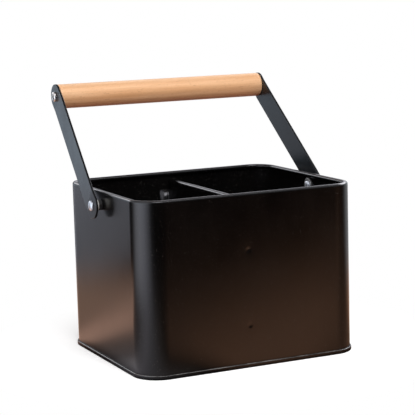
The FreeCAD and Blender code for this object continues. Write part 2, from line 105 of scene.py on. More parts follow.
# Sizes and places that the CAD nodes give
TOP = highest("tin_wall").z
HALF_WIDTH = lowest("pivot_spacer_right").x
HALF_DEPTH = highest("divider").y + WALL
FLOOR = highest("base_pan").z - PAN - PANEL_RISE
DIVIDER_TOP = highest("divider").z
FLANGE_END = lowest("divider").x
PIVOT_Z = frame["joints"][0]["pos_m"][2] / MM
SPACER_END = highest("pivot_spacer_right").x - HALF_WIDTH
SPACER_RADIUS = highest("pivot_spacer_right").y
WASHER_END = highest("pivot_washer_right").x - HALF_WIDTH
WASHER_RADIUS = highest("pivot_washer_right").y
BACKING_RADIUS = highest("backing_washer_right").y
RIVET_END = highest("pivot_rivets").x - HALF_WIDTH
RIVET_RADIUS = highest("pivot_rivets").z - PIVOT_Z
GRIP_END = highest("grip").x
GRIP_RADIUS = (highest("grip").z - lowest("grip").z) / 2
GRIP_Y = highest("grip").y - GRIP_RADIUS
GRIP_Z = highest("grip").z - GRIP_RADIUS
ARM = math.hypot(GRIP_Y, GRIP_Z - PIVOT_Z)
TILT = math.atan2(GRIP_Y, GRIP_Z - PIVOT_Z)
STRAP_FACE = highest("strap_right").x - STRAP


# Meshes

def arc(centre, radius, start, end, steps):
    """Points on an arc in degrees, both ends included."""
    points = []
    for step in range(steps + 1):
        angle = math.radians(start + (end - start) * step / steps)
        points.append((centre[0] + radius * math.cos(angle), centre[1] + radius * math.sin(angle)))
    return points


def dome(base, height, radius, power, steps=14):
    """From the edge of a round head over its crown, as (x, radius)."""
    points = []
    for step in range(steps):
        angle = math.pi / 2 * step / steps
        x = base + height * math.sin(angle) ** (2 / power)
        points.append((x, radius * math.cos(angle) ** (2 / power)))
    return points + [(base + height, 0.0)]


def spread(start, end, step, fine=()):
    """Places from start to end, closer together round some of them: (centre, reach, step)."""
    places = {start, end}
    count = max(1, round(abs(end - start) / step))
    for number in range(1, count):
        place = start + (end - start) * number / count
        if all(abs(place - centre) > reach + fine_step for centre, reach, fine_step in fine):
            places.add(place)
    for centre, reach, fine_step in fine:
        half = round(reach / fine_step)
        for number in range(-half, half + 1):
            place = centre + number * fine_step
            if min(start, end) < place < max(start, end):
                places.add(round(place, 4))
    return sorted(places, reverse=end < start)


def held(start, end, step, fine=()):
    """The same, with a place just inside each end, so that a flat stays flat beside a bend."""
    inset = math.copysign(0.3, end - start)
    places = spread(start, end, step, fine)
    return [places[0], start + inset] + places[1:-1] + [end - inset, places[-1]]


def grid_faces(rows, columns, closed_rows=True, closed_columns=True):
    """Four-sided faces between the points of a grid, numbered row by row."""
    faces = []
    for row in range(rows if closed_rows else rows - 1):
        for column in range(columns if closed_columns else columns - 1):
            next_row = (row + 1) % rows
            next_column = (column + 1) % columns
            faces.append((row * columns + column, row * columns + next_column,
                          next_row * columns + next_column, next_row * columns + column))
    return faces


def ring_faces(rings):
    """Faces between each ring of point numbers and the next. A ring may be a single point."""
    faces = []
    for first, second in zip(rings, rings[1:]):
        count = max(len(first), len(second))
        for place in range(count):
            following = (place + 1) % count
            if len(first) == 1:
                faces.append((first[0], second[following], second[place]))
            elif len(second) == 1:
                faces.append((first[place], first[following], second[0]))
            else:
                faces.append((first[place], first[following], second[following], second[place]))
    return faces


def lathe(profile, segments=64, closed=False):
    """Turn a profile of (x, radius) about X. A radius may be a function of the angle."""
    points = []
    rings = []
    turns = [2 * math.pi * number / segments for number in range(segments)]
    for x, radius in profile:
        angles = turns if callable(radius) or radius > 0 else turns[:1]
        reaches = [radius(angle) if callable(radius) else radius for angle in angles]
        rings.append(range(len(points), len(points) + len(angles)))
        points += [(x, reach * math.cos(angle), reach * math.sin(angle))
                   for reach, angle in zip(reaches, angles)]
    if closed:
        rings.append(rings[0])
    return points, ring_faces(rings)


def merge(parts):
    """One list of points and faces from several."""
    points = []
    faces = []
    for part_points, part_faces in parts:
        shift = len(points)
        points += part_points
        faces += [tuple(corner + shift for corner in face) for face in part_faces]
    return points, faces


def new_mesh(name, points, faces, closed=True):
    """A mesh in metres from points in millimetres. A closed one has its faces looking outwards."""
    mesh = bpy.data.meshes.new(name)
    mesh.from_pydata([Vector(point) * MM for point in points], [], faces)
    shape = bmesh.new()
    shape.from_mesh(mesh)
    bmesh.ops.remove_doubles(shape, verts=shape.verts, dist=1e-7)
    bmesh.ops.recalc_face_normals(shape, faces=shape.faces)
    if closed and shape.calc_volume(signed=True) < 0:
        bmesh.ops.reverse_faces(shape, faces=shape.faces)
    shape.to_mesh(mesh)
    shape.free()
    return mesh


def moved_mesh(name, part, place):
    """A mesh of some points and faces, each point first put in its place."""
    points, faces = part
    return new_mesh(name, [place(*point) for point in points], faces)


def right_pivot(x, y, z):
    """From a place about an axis along X, outwards from the wall, to its place on the tin."""
    return HALF_WIDTH + x, y, PIVOT_Z + z


def left_pivot(x, y, z):
    return -HALF_WIDTH - x, y, PIVOT_Z + z


def leant(x, across, along):
    """From the upright bail, about its pivots, to the bail as it is stored."""
    return (x, across * math.cos(TILT) + along * math.sin(TILT),
            PIVOT_Z - across * math.sin(TILT) + along * math.cos(TILT))


def cut(mesh, cutter):
    """The mesh with another one taken out of it."""
    body = bpy.data.objects.new("cut_body", mesh)
    tool = bpy.data.objects.new("cut_tool", cutter)
    for item in (body, tool):
        bpy.context.scene.collection.objects.link(item)
    modifier = body.modifiers.new("cut", "BOOLEAN")
    modifier.operation = "DIFFERENCE"
    modifier.solver = "EXACT"
    modifier.object = tool
    graph = bpy.context.evaluated_depsgraph_get()
    result = bpy.data.meshes.new_from_object(body.evaluated_get(graph))
    for item in (body, tool):
        bpy.data.objects.remove(item)
    return result


def piece(name, mesh, body, node, slot, material, sharp=32):
    """Put a mesh in the scene in place of a CAD node, smooth but for its sharp edges."""
    mesh.materials.clear()
    mesh.materials.append(material)
    mesh.shade_smooth()
    mesh.set_sharp_from_angle(angle=math.radians(sharp))
    item = bpy.data.objects.new(name, mesh)
    bpy.context.scene.collection.objects.link(item)
    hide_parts(node)
    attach(item, body)
    return item


# Materials. The sizes in their noise are per metre, and the heights of their bumps are in metres.

class Tree:
    """A material's nodes, made and linked in one call each."""

    def __init__(self, name):
        self.material = bpy.data.materials.new(name)
        self.material.use_nodes = True
        self.nodes = self.material.node_tree.nodes
        self.links = self.material.node_tree.links
        self.shader = self.nodes["Principled BSDF"]
        self.place = self.add("ShaderNodeTexCoord").outputs["Object"]

    def add(self, kind, inputs=None, **settings):
        """A new node. Each of its inputs takes a plain value or another node's output."""
        node = self.nodes.new(kind)
        for name, value in settings.items():
            setattr(node, name, value)
        for name, value in (inputs or {}).items():
            self.set(node, name, value)
        return node

    def set(self, node, name, value):
        if isinstance(value, bpy.types.NodeSocket):
            self.links.new(value, node.inputs[name])
        else:
            node.inputs[name].default_value = value

    def give(self, **values):
        """Set the shader's sockets, by names with underscores for spaces."""
        for name, value in values.items():
            self.set(self.shader, name.replace("_", " "), value)

    def show(self, output):
        """Make a shader's output the surface of the material."""
        self.links.new(output, self.nodes["Material Output"].inputs["Surface"])

    def split(self, vector):
        """The X, Y and Z of a vector."""
        return self.add("ShaderNodeSeparateXYZ", {"Vector": vector}).outputs

    def length(self, vector):
        node = self.add("ShaderNodeVectorMath", {0: vector}, operation="LENGTH")
        return node.outputs["Value"]

    def mapped(self, scale=(1, 1, 1), location=(0, 0, 0), rotation=(0, 0, 0)):
        return self.add("ShaderNodeMapping", {
            "Vector": self.place, "Scale": scale, "Location": location, "Rotation": rotation,
        }).outputs["Vector"]

    def noise(self, place, scale, detail=2.0, roughness=0.5, distortion=0.0):
        return self.add("ShaderNodeTexNoise", {
            "Vector": place, "Scale": scale, "Detail": detail, "Roughness": roughness,
            "Distortion": distortion,
        }).outputs["Fac"]

    def ranged(self, value, low, high, to_low, to_high, **settings):
        return self.add("ShaderNodeMapRange", {
            "Value": value, "From Min": low, "From Max": high, "To Min": to_low,
            "To Max": to_high,
        }, **settings).outputs["Result"]

    def blend(self, factor, first, second, kind="MIX"):
        node = self.add("ShaderNodeMix", data_type="RGBA", blend_type=kind)
        self.set(node, 0, factor)
        self.set(node, 6, first)
        self.set(node, 7, second)
        return node.outputs[2]

    def maths(self, operation, first, second=0.0):
        node = self.add("ShaderNodeMath", operation=operation)
        self.set(node, 0, first)
        self.set(node, 1, second)
        return node.outputs[0]

    def bump(self, height, distance, strength=1.0, normal=None):
        inputs = {"Height": height, "Distance": distance, "Strength": strength}
        if normal is not None:
            inputs["Normal"] = normal
        return self.add("ShaderNodeBump", inputs).outputs["Normal"]


def coat(name, dark, light, gloss, seam=0.0, specular=0.5):
    """Stoved lacquer on sheet steel: a fine orange peel, faint cloudiness and a few specks."""
    # The grey of rubbed-through steel on the seam's crown, which also paints the crown's highlight
    # line
    bare_and_highlight_grey = (0.15, 0.147, 0.145, 1)
    dust = (0.16, 0.15, 0.14, 1)
    tree = Tree(name)
    peel = tree.noise(tree.place, 620, 3, 0.55)
    grit = tree.noise(tree.place, 2600, 2, 0.6)
    cloud = tree.noise(tree.place, 22, 4, 0.6)
    speck = tree.ranged(tree.noise(tree.place, 1500, 0), 0.78, 0.84, 0, 1)
    wipe = tree.noise(tree.mapped((60, 60, 9)), 1, 4, 0.65, 0.4)
    colour = tree.blend(tree.ranged(cloud, 0.35, 0.65, 0, 1), dark, light)
    if seam:
        # The crown of the base seam is rubbed through here and there, and this lighter band along
        # the crown is also a painted highlight
        height = tree.split(tree.place)["Z"]
        crown = tree.maths(
            "MULTIPLY", tree.ranged(height, (seam - 0.35) * MM, (seam - 0.2) * MM, 0, 1),
            tree.ranged(height, seam * MM, (seam + 0.1) * MM, 1, 0))
        rubbed_and_highlit = tree.ranged(tree.noise(tree.place, 90, 4, 0.7), 0.38, 0.56, 0.25, 1)
        colour = tree.blend(tree.maths("MULTIPLY", crown, rubbed_and_highlit), colour, bare_and_highlight_grey)
    tree.give(
        Base_Color=tree.blend(tree.maths("MULTIPLY", speck, 0.35), colour, dust),
        Roughness=tree.maths("ADD", tree.ranged(cloud, 0.3, 0.7, gloss - 0.03, gloss + 0.03),
                             tree.ranged(wipe, 0.3, 0.7, -0.02, 0.03)),
        Normal=tree.bump(grit, 0.00002, 0.2, tree.bump(peel, 0.00005, 0.25)),
        Specular_IOR_Level=specular,
    )
    return tree.material


def wood(name):
    """Oiled beech: straight grain along X, short dark flecks and open pores."""
    deep = (0.71, 0.405, 0.205, 1)
    pale = (0.80, 0.53, 0.315, 1)
    figure_brown = (0.50, 0.245, 0.105, 1)
    fibre_brown = (0.46, 0.225, 0.10, 1)
    fleck_brown = (0.30, 0.135, 0.06, 1)
    pore_brown = (0.34, 0.16, 0.07, 1)
    tree = Tree(name)
    stretched = tree.mapped((7, 90, 90), (0, 0.021, -0.034), (0.35, 0.0, 0.03))
    sway = tree.noise(stretched, 1.2, 3, 0.55)
    figure = tree.add("ShaderNodeTexWave", {
        "Vector": tree.mapped((1.1, 60, 42), (0.3, 0.013, 0.02), (0.6, 0.018, 0.05)),
        "Scale": 1.6, "Distortion": 3.2, "Detail": 3.0, "Detail Scale": 0.7,
        "Detail Roughness": 0.55,
    }, wave_type="BANDS", bands_direction="Y", wave_profile="SIN").outputs["Fac"]
    fibre = tree.noise(tree.mapped((26, 900, 900)), 1, 4, 0.62)
    fleck = tree.ranged(tree.noise(tree.mapped((260, 2300, 2300)), 1, 1, 0.5), 0.66, 0.73, 0, 1)
    pore = tree.ranged(tree.noise(tree.mapped((420, 5200, 5200)), 1, 1, 0.5), 0.62, 0.72, 0, 1)
    tone = tree.blend(tree.ranged(sway, 0.3, 0.7, 0, 1), deep, pale)
    tone = tree.blend(tree.ranged(figure, 0.35, 1, 0, 0.30), tone, figure_brown)
    tone = tree.blend(tree.ranged(fibre, 0.42, 0.68, 0, 0.22), tone, fibre_brown)
    tone = tree.blend(tree.maths("MULTIPLY", fleck, 0.5), tone, fleck_brown)
    height = tree.maths("SUBTRACT", fibre, tree.maths("MULTIPLY", pore, 0.8))
    tree.give(
        Base_Color=tree.blend(tree.maths("MULTIPLY", pore, 0.25), tone, pore_brown),
        Roughness=tree.ranged(fibre, 0.3, 0.7, 0.34, 0.48),
        Normal=tree.bump(height, 0.00006, 0.5),
    )
    return tree.material


def turned_steel(name, axis, colour, gloss, ring_size):
    """Bright steel with the fine rings of a turned or stamped head, about an axis along X."""
    tree = Tree(name)
    parts = tree.split(tree.mapped(location=(0, -axis[0] * MM, -axis[1] * MM)))
    flat = tree.add("ShaderNodeCombineXYZ", {"Y": parts["Y"], "Z": parts["Z"]})
    rings = tree.add("ShaderNodeTexNoise", {
        "W": tree.length(flat.outputs[0]), "Scale": ring_size, "Detail": 3.0,
    }, noise_dimensions="1D").outputs["Fac"]
    scratch = tree.noise(tree.mapped((900, 300, 2400), rotation=(0.7, 0.4, 0.2)), 1, 3, 0.6)
    smear = tree.noise(tree.place, 420, 3, 0.6)
    tree.give(
        Base_Color=tree.blend(tree.ranged(smear, 0.35, 0.7, 0, 0.5), colour,
                              (colour[0] * 0.62, colour[1] * 0.6, colour[2] * 0.58, 1)),
        Metallic=1.0,
        Roughness=tree.maths("ADD", tree.ranged(rings, 0.3, 0.7, gloss - 0.05, gloss + 0.07),
                             tree.ranged(smear, 0.3, 0.7, -0.03, 0.06)),
        Normal=tree.bump(scratch, 0.00001, 0.3, tree.bump(rings, 0.00002, 0.35)),
    )
    return tree.material


def plastic(name, first, second, gloss):
    """Moulded plastic with a faint mottle and a fine spark-eroded texture."""
    tree = Tree(name)
    mottle = tree.noise(tree.place, 300, 4, 0.6)
    texture = tree.noise(tree.place, 3200, 2, 0.5)
    tree.give(
        Base_Color=tree.blend(tree.ranged(mottle, 0.3, 0.7, 0, 1), first, second),
        Roughness=tree.ranged(mottle, 0.3, 0.7, gloss - 0.05, gloss + 0.06),
        Normal=tree.bump(texture, 0.00003, 0.35),
    )
    return tree.material


tin_coat = coat("tin_coat", (0.0012, 0.0011, 0.0011, 1), (0.0024, 0.0022, 0.0021, 1), 0.19,
                seam=SEAM_TOP)
strap_coat = coat("strap_coat", (0.0064, 0.0082, 0.0100, 1), (0.0095, 0.0120, 0.0145, 1), 0.30)
# A darker coat with little shine for the strap's edges, which paints shade along them
strap_edge_shade = coat("strap_edge_shade", (0.0030, 0.0032, 0.0034, 1), (0.0050, 0.0054, 0.0058, 1), 0.42,
                  specular=0.06)
grip_wood = wood("grip_wood")
pivot_axis = (0.0, PIVOT_Z)
grip_axis = (GRIP_Y, GRIP_Z)
rivet_steel = turned_steel("rivet_steel", pivot_axis, (0.74, 0.79, 0.83, 1), 0.42, 2600)
screw_steel = turned_steel("screw_steel", grip_axis, (0.76, 0.74, 0.70, 1), 0.24, 2200)
backing_steel = turned_steel("backing_steel", pivot_axis, (0.60, 0.60, 0.58, 1), 0.36, 1200)
spacer_black = plastic("spacer_black", (0.010, 0.010, 0.010, 1), (0.017, 0.017, 0.017, 1), 0.58)
washer_grey = plastic("washer_grey", (0.36, 0.36, 0.345, 1), (0.46, 0.46, 0.44, 1), 0.42)


# Tin: each sheet is one section, run round one path

def tin_path(front, right, back, left, corner_steps=20):
    """Columns round the tin: a point on the wall's outer face, the way out and the side."""
    columns = []
    in_x = HALF_WIDTH - CORNER
    in_y = HALF_DEPTH - CORNER

    def corner(centre_x, centre_y, start):
        for step in range(1, corner_steps):
            angle = math.radians(start + 90 * step / corner_steps)
            way = (math.cos(angle), math.sin(angle))
            columns.append((centre_x + CORNER * way[0], centre_y + CORNER * way[1], *way, ""))

    columns += [(x, -HALF_DEPTH, 0, -1, "front") for x in front]
    corner(in_x, -in_y, -90)
    columns += [(HALF_WIDTH, y, 1, 0, "right") for y in right]
    corner(in_x, in_y, 0)
    columns += [(x, HALF_DEPTH, 0, 1, "back") for x in back]
    corner(-in_x, in_y, 90)
    columns += [(-HALF_WIDTH, y, -1, 0, "left") for y in left]
    corner(-in_x, -in_y, 180)
    return columns


def dent(across, z):
    """How far the wall is drawn in by its spot welds, at a place on the front or the back."""
    depth = 0.0
    for height in WELD_HEIGHTS:
        away = math.hypot(across - WELD_X, z - height)
        if away < WELD_RADIUS:
            depth += WELD_DEPTH * (1 - (away / WELD_RADIUS) ** 2) ** 2
        depth += SAG_DEPTH * math.exp(-(away / SAG_RADIUS) ** 2)
    return depth


def within(value, low, high, width=0.1):
    """1 between two edges and 0 outside them, with a short slope at each."""

    def step_up(edge):
        return min(1.0, max(0.0, (value - edge) / width + 0.5))

    return step_up(low) - step_up(high)


def make_wall():
    """The wall: rolled in at the rim, hooked outwards in the base seam and lapped at the back."""
    hook_outer = HOOK_BEND * 2 + WALL
    hook_top = SEAM_TOP - (PAN * 2 + WALL + SEAM_GAP * 2) / 2
    roll = (-RIM, TOP - RIM)
    line_low = SEAM_TOP + 0.4
    edge = 0.05
    inset = 0.2

    def weld_places(centre):
        """Where the mesh is finer for the dents: fine close by, and less so farther out."""
        return [(centre, 3.15, 0.35), (centre, 8.0, 1.6)]

    fine = [place for height in WELD_HEIGHTS for place in weld_places(height)]
    heights = sorted({
        *spread(HOOK_Z, roll[1], 9.0, fine), HOOK_Z + inset, roll[1] - inset,
        LAP_HIGH - edge, LAP_HIGH + edge, line_low - edge, line_low + edge})
    inside = sorted({
        roll[1], roll[1] - inset, LAP_HIGH + edge, LAP_HIGH - edge, 90.0, 45.0,
        LAP_LOW + edge, LAP_LOW - edge, HOOK_Z + inset, HOOK_Z}, reverse=True)
    rows = [(0.0, z, "outer") for z in heights[:-1]]
    rows += [(*point, "") for point in arc(roll, RIM, 0, 270, 27)]
    rows += [(*point, "") for point in arc(roll, RIM - WALL, 270, 0, 24)]
    rows += [(-WALL, z, "inner") for z in inside[1:-1]]
    rows += [(*point, "") for point in arc((HOOK_BEND, HOOK_Z), HOOK_BEND + WALL, 180, 360, 12)]
    rows += [(hook_outer, hook_top, ""), (hook_outer - WALL, hook_top, "")]
    rows += [(*point, "") for point in arc((HOOK_BEND, HOOK_Z), HOOK_BEND, 360, 180, 8)[:-1]]

    in_x = HALF_WIDTH - CORNER
    in_y = HALF_DEPTH - CORNER
    lap = [(place, edge, edge) for place in (LAP_START, LAP_START + LAP_LINE, LAP_END)]
    columns = tin_path(
        held(-in_x, in_x, 9.0, weld_places(WELD_X)), held(-in_y, in_y, 8.0),
        held(in_x, -in_x, 9.0, weld_places(WELD_X) + lap), held(in_y, -in_y, 8.0))
    points = []
    for offset, z, face in rows:
        for x, y, way_x, way_y, side in columns:
            out = offset
            if side in ("front", "back") and face == "outer":
                out -= dent(x, z)
            if side == "back" and face == "outer":
                line = within(x, LAP_START, LAP_START + LAP_LINE) * within(z, line_low, LAP_HIGH)
                out -= LAP_LINE_DEPTH * line
            if side == "back" and face == "inner":
                out -= WALL * within(x, LAP_START, LAP_END) * within(z, LAP_LOW, LAP_HIGH)
            points.append((x + way_x * out, y + way_y * out, z))
    sheet = new_mesh("tin_wall_sheet", points, grid_faces(len(rows), len(columns)))
    reach = HALF_WIDTH + 9
    pin = lathe([(-reach, 0), (-reach, HOLE), (reach, HOLE), (reach, 0)], 48)
    holes = moved_mesh("pivot_holes", pin, lambda x, y, z: (x, y, PIVOT_Z + z))
    piece("wall_sheet", cut(sheet, holes), "basket", "tin_wall", "tin_coat", tin_coat)


def make_pan():
    """The pan: a floor with a raised panel, a foot, and an edge folded over the wall's hook."""
    chuck = -WALL - SEAM_GAP
    seam_out = SEAM_GAP * 3 + PAN * 2 + WALL
    cover = (seam_out - SEAM_GAP) / 2
    fold = (SEAM_GAP + cover, SEAM_TOP - cover)
    bend = (chuck - PAN - FLOOR_BEND, FLOOR - FLOOR_BEND)
    chuck_toe = (chuck - PAN + TOE, TOE)
    seam_toe = (seam_out - TOE, TOE)
    ledge = 6.2
    slope = 3.0
    slope_start = bend[0] - ledge
    border = slope_start - slope - 2

    def rise(z, steps=8):
        """The soft step from the ledge up to the raised panel."""
        return [(slope_start - slope * step / steps,
                 z + PANEL_RISE * (1 - math.cos(math.pi * step / steps)) / 2)
                for step in range(steps + 1)]

    section = [(border, FLOOR + PANEL_RISE)]
    section += rise(FLOOR)[::-1]
    section += arc(bend, FLOOR_BEND, 90, 0, 6)
    section += arc(chuck_toe, TOE, 180, 270, 7)
    section += arc(seam_toe, TOE, 270, 360, 7)
    section += arc(fold, cover, 0, 180, 12)
    section += [(SEAM_GAP, HOOK_Z), (SEAM_GAP + PAN, HOOK_Z)]
    section += arc(fold, cover - PAN, 180, 0, 6)
    section += arc(seam_toe, TOE - PAN, 360, 270, 5)
    section += arc(chuck_toe, TOE - PAN, 270, 180, 5)
    section += arc(bend, FLOOR_BEND + PAN, 0, 90, 8)
    section += rise(FLOOR + PAN)
    section += [(border, FLOOR + PANEL_RISE + PAN)]
    in_x = HALF_WIDTH - CORNER
    in_y = HALF_DEPTH - CORNER
    columns = tin_path(held(-in_x, in_x, 30), held(-in_y, in_y, 30),
                       held(in_x, -in_x, 30), held(in_y, -in_y, 30))
    points = [(x + way_x * out, y + way_y * out, z)
              for out, z in section for x, y, way_x, way_y, _ in columns]
    count = len(columns)
    last = len(points) - count
    faces = grid_faces(len(section), count, closed_rows=False)
    faces += [tuple(range(count)), tuple(range(last, last + count))]
    piece("base_pan_sheet", new_mesh("base_pan_sheet", points, faces), "basket", "base_pan",
          "tin_coat", tin_coat)


def make_divider():
    """The divider as bent sheet: its middle surface, thickened to both sides."""
    inner = HALF_DEPTH - WALL - DIVIDER / 2
    radius = DIVIDER_BEND + DIVIDER / 2
    bend_y = inner - radius
    web = spread(bend_y, -bend_y, 12)
    plan = [(FLANGE_END, inner)]
    plan += arc((-radius, bend_y), radius, 90, 0, 8)
    plan += [(0.0, y) for y in web[1:-1]]
    plan += arc((-radius, -bend_y), radius, 0, -90, 8)
    plan += [(FLANGE_END, -inner)]
    heights = spread(FLOOR + PANEL_RISE + PAN, FLANGE_TOP, 12)
    lower = ([(x, y, z) for z in heights for x, y in plan],
             grid_faces(len(heights), len(plan), False, False))

    roll = DIVIDER_ROLL - DIVIDER / 2
    centre = (roll, DIVIDER_TOP - DIVIDER_ROLL)
    curl = [(0.0, FLANGE_TOP), (0.0, centre[1] - 3)] + arc(centre, roll, 180, -90, 24)
    end = HALF_DEPTH - WALL - 0.3
    run = [end] + web + [-end]
    upper = ([(x, y, z) for x, z in curl for y in run],
             grid_faces(len(curl), len(run), False, False))
    sheet = new_mesh("divider_sheet", *merge([lower, upper]), closed=False)
    item = piece("divider_sheet", sheet, "basket", "divider", "tin_coat", tin_coat)
    thick = item.modifiers.new("thickness", "SOLIDIFY")
    thick.thickness = DIVIDER * MM
    thick.offset = 0.0
    thick.use_even_offset = True


# Bail

def make_pivots():
    """A rivet through the wall with its washers and a spacer, on each side."""
    inside = -WALL - BACKING
    side_play = 0.1
    head = STRAP_FACE + STRAP + side_play - HALF_WIDTH
    head_edge = (0.12, 0.15)
    tail_edge = 0.25
    tail = dome(tail_edge, TAIL_HEIGHT - tail_edge, TAIL_RADIUS, 2.0, 10)
    rivet = [(inside - x, radius) for x, radius in reversed(tail)]
    rivet += [(inside, TAIL_RADIUS), (inside, PIN), (head, PIN)]
    rivet += [(head, RIVET_RADIUS - head_edge[1]), (head + head_edge[0], RIVET_RADIUS)]
    rivet += dome(RIVET_END - DOME, DOME, RIVET_RADIUS, 2.15)

    chamfer = 0.25
    spacer = [(chamfer, SPACER_RADIUS), (SPACER_END - chamfer, SPACER_RADIUS),
              (SPACER_END, SPACER_RADIUS - chamfer), (SPACER_END, HOLE), (0.0, HOLE),
              (0.0, SPACER_RADIUS - chamfer)]
    edge = 0.45
    edge_radius = WASHER_RADIUS - edge
    washer = [(SPACER_END, HOLE)]
    washer += arc((SPACER_END + edge, edge_radius), edge, 180, 90, 5)
    washer += arc((WASHER_END - edge, edge_radius), edge, 90, 0, 5)
    washer += [(WASHER_END, HOLE)]
    rounding = 0.3
    bevel = 0.15
    backing = [(-WALL, HOLE), (-WALL, BACKING_RADIUS), (inside + rounding, BACKING_RADIUS)]
    backing += arc((inside + rounding, BACKING_RADIUS - rounding), rounding, 90, 180, 5)[1:]
    backing += [(inside, HOLE + bevel), (inside + bevel, HOLE)]
    for side, place in (("left", left_pivot), ("right", right_pivot)):
        for name, node, profile, closed, slot, material in (
                ("rivet", "pivot_rivets", rivet, False, "rivet_steel", rivet_steel),
                ("spacer", f"pivot_spacer_{side}", spacer, True, "spacer_black", spacer_black),
                ("washer", f"pivot_washer_{side}", washer, True, "washer_grey", washer_grey),
                ("backing", f"backing_washer_{side}", backing, True, "backing_steel",
                 backing_steel)):
            mesh = moved_mesh(f"{name}_{side}", lathe(profile, 72, closed), place)
            piece(f"{name}_{side}", mesh, "basket", node, slot, material)


def strap_inner(along):
    """How far out the strap's inner face is, with a short curve at each of its two bends."""
    low = STRAP_BEND
    high = ARM - STRAP_BEND
    curve = 2.0
    lean = (STRAP_FACE - GRIP_END) / (high - low)

    def ramp(value):
        if value < -curve:
            return 0.0
        if value > curve:
            return value
        return (value + curve) ** 2 / (4 * curve)

    return STRAP_FACE - lean * (ramp(along - low) - ramp(along - high))


def make_strap(side):
    """A stamped strap: a flat outline with two holes, its edges rounded, then bent twice."""
    edge = 0.3
    screw_hole = 2.3
    outline = arc((0, ARM), STRAP_END, 0, 180, 40) + arc((0, 0), STRAP_END, 180, 360, 40)
    flat = bpy.data.curves.new("strap_outline", "CURVE")
    flat.dimensions = "2D"
    flat.fill_mode = "BOTH"
    flat.extrude = (STRAP / 2 - edge) * MM
    flat.bevel_depth = edge * MM
    flat.bevel_resolution = 3
    flat.offset = -edge * MM
    for ring in (outline, arc((0, 0), HOLE, 0, 360, 40)[:-1],
                 arc((0, ARM), screw_hole, 0, 360, 40)[:-1]):
        spline = flat.splines.new("POLY")
        spline.points.add(len(ring) - 1)
        spline.use_cyclic_u = True
        for point, (x, y) in zip(spline.points, ring):
            point.co = (x * MM, y * MM, 0, 1)
    item = bpy.data.objects.new("strap_outline", flat)
    bpy.context.scene.collection.objects.link(item)
    graph = bpy.context.evaluated_depsgraph_get()
    mesh = bpy.data.meshes.new_from_object(item.evaluated_get(graph))
    bpy.data.objects.remove(item)
    shape = bmesh.new()
    shape.from_mesh(mesh)
    bmesh.ops.remove_doubles(shape, verts=shape.verts, dist=1e-7)
    for bend in (STRAP_BEND, ARM - STRAP_BEND):
        for shift in (-2.0, -1.0, 0.0, 1.0, 2.0):
            everything = shape.verts[:] + shape.edges[:] + shape.faces[:]
            bmesh.ops.bisect_plane(shape, geom=everything, plane_co=(0, (bend + shift) * MM, 0),
                                   plane_no=(0, 1, 0))
    turn = 1 if side == "right" else -1
    for corner in shape.verts:
        across, along, through = corner.co / MM
        out = strap_inner(along) + STRAP / 2 + through
        corner.co = Vector(leant(turn * out, across, along)) * MM
    bmesh.ops.recalc_face_normals(shape, faces=shape.faces)
    shape.to_mesh(mesh)
    shape.free()
    item = piece(f"strap_plate_{side}", mesh, "handle", f"strap_{side}", "strap_coat",
                 strap_coat, sharp=40)
    # The stamped edges get a darker coat with less shine than the faces: painted shade along the
    # strap's edges
    mesh.materials.append(strap_edge_shade)
    for face in mesh.polygons:
        if abs(face.normal.x) < 0.5:
            face.material_index = 1
    flatten = item.modifiers.new("flat_faces", "WEIGHTED_NORMAL")
    flatten.keep_sharp = True


def make_grip():
    """The turned grip, with rounded ends and a blind pilot hole in each."""
    fillet = 0.9
    pilot_depth = 20.23
    pilot = 2.03
    face_ring = 6.0
    end_run = 4
    half = [(GRIP_END - pilot_depth, 0.0), (GRIP_END - pilot_depth, pilot), (GRIP_END, pilot),
            (GRIP_END, face_ring), (GRIP_END, GRIP_RADIUS - fillet)]
    half += arc((GRIP_END - fillet, GRIP_RADIUS - fillet), fillet, 0, 90, 6)[1:]
    run = spread(GRIP_END - end_run, end_run - GRIP_END, 12)
    profile = half + [(x, GRIP_RADIUS) for x in run]
    profile += [(-x, radius) for x, radius in reversed(half)]
    mesh = moved_mesh("grip_turned", lathe(profile, 96), lambda x, y, z: leant(x, y, z + ARM))
    piece("grip_turned", mesh, "handle", "grip", "grip_wood", grip_wood)


def screw():
    """A pan-head wood screw along X, its seat at 0. Its thread grows from its point."""
    length = 22.0
    point = 5.0
    neck = 2.4
    pitch = 1.9
    root, crest = 1.35, 1.97
    shank = 1.5
    throat = 1.9
    head = 4.1
    head_edge = 0.15
    head_side = 1.0
    crown = 1.5
    step = pitch / 12

    def thread(x):
        grown = min(1.0, (x + length) / point)

        def radius(angle):
            turn = (x / pitch - angle / (2 * math.pi)) % 1
            flank = max(0.0, 1 - abs(turn - 0.5) * 5)
            return grown * (root + (crest - root) * flank)

        return radius

    profile = [(-length, 0.0)]
    for number in range(1, round((length - neck) / step) + 1):
        profile.append((number * step - length, thread(number * step - length)))
    profile += [(-2.0, shank), (-0.5, shank), (0.0, throat)]
    profile += [(0.0, head - head_edge), (head_edge, head)] + dome(head_side, crown, head, 2.7, 16)
    return lathe(profile, 48)


def cross_recess():
    """The tapered cross of the driver, from above the head down to its foot."""
    # At each end of the taper: its place along the screw, then an arm's length and half width
    mouth = (2.9, 2.3, 0.56)
    foot = (0.95, 1.35, 0.42)
    points = []
    for x, arm, slot in (mouth, foot):
        for quarter in range(4):
            angle = math.pi / 2 * quarter
            for across, along in ((slot, arm), (-slot, arm), (-slot, slot)):
                points.append((x, across * math.cos(angle) - along * math.sin(angle),
                               across * math.sin(angle) + along * math.cos(angle)))
    count = len(points) // 2
    faces = grid_faces(2, count, closed_rows=False)
    faces += [tuple(range(count)), tuple(range(count * 2 - 1, count - 1, -1))]
    return points, faces


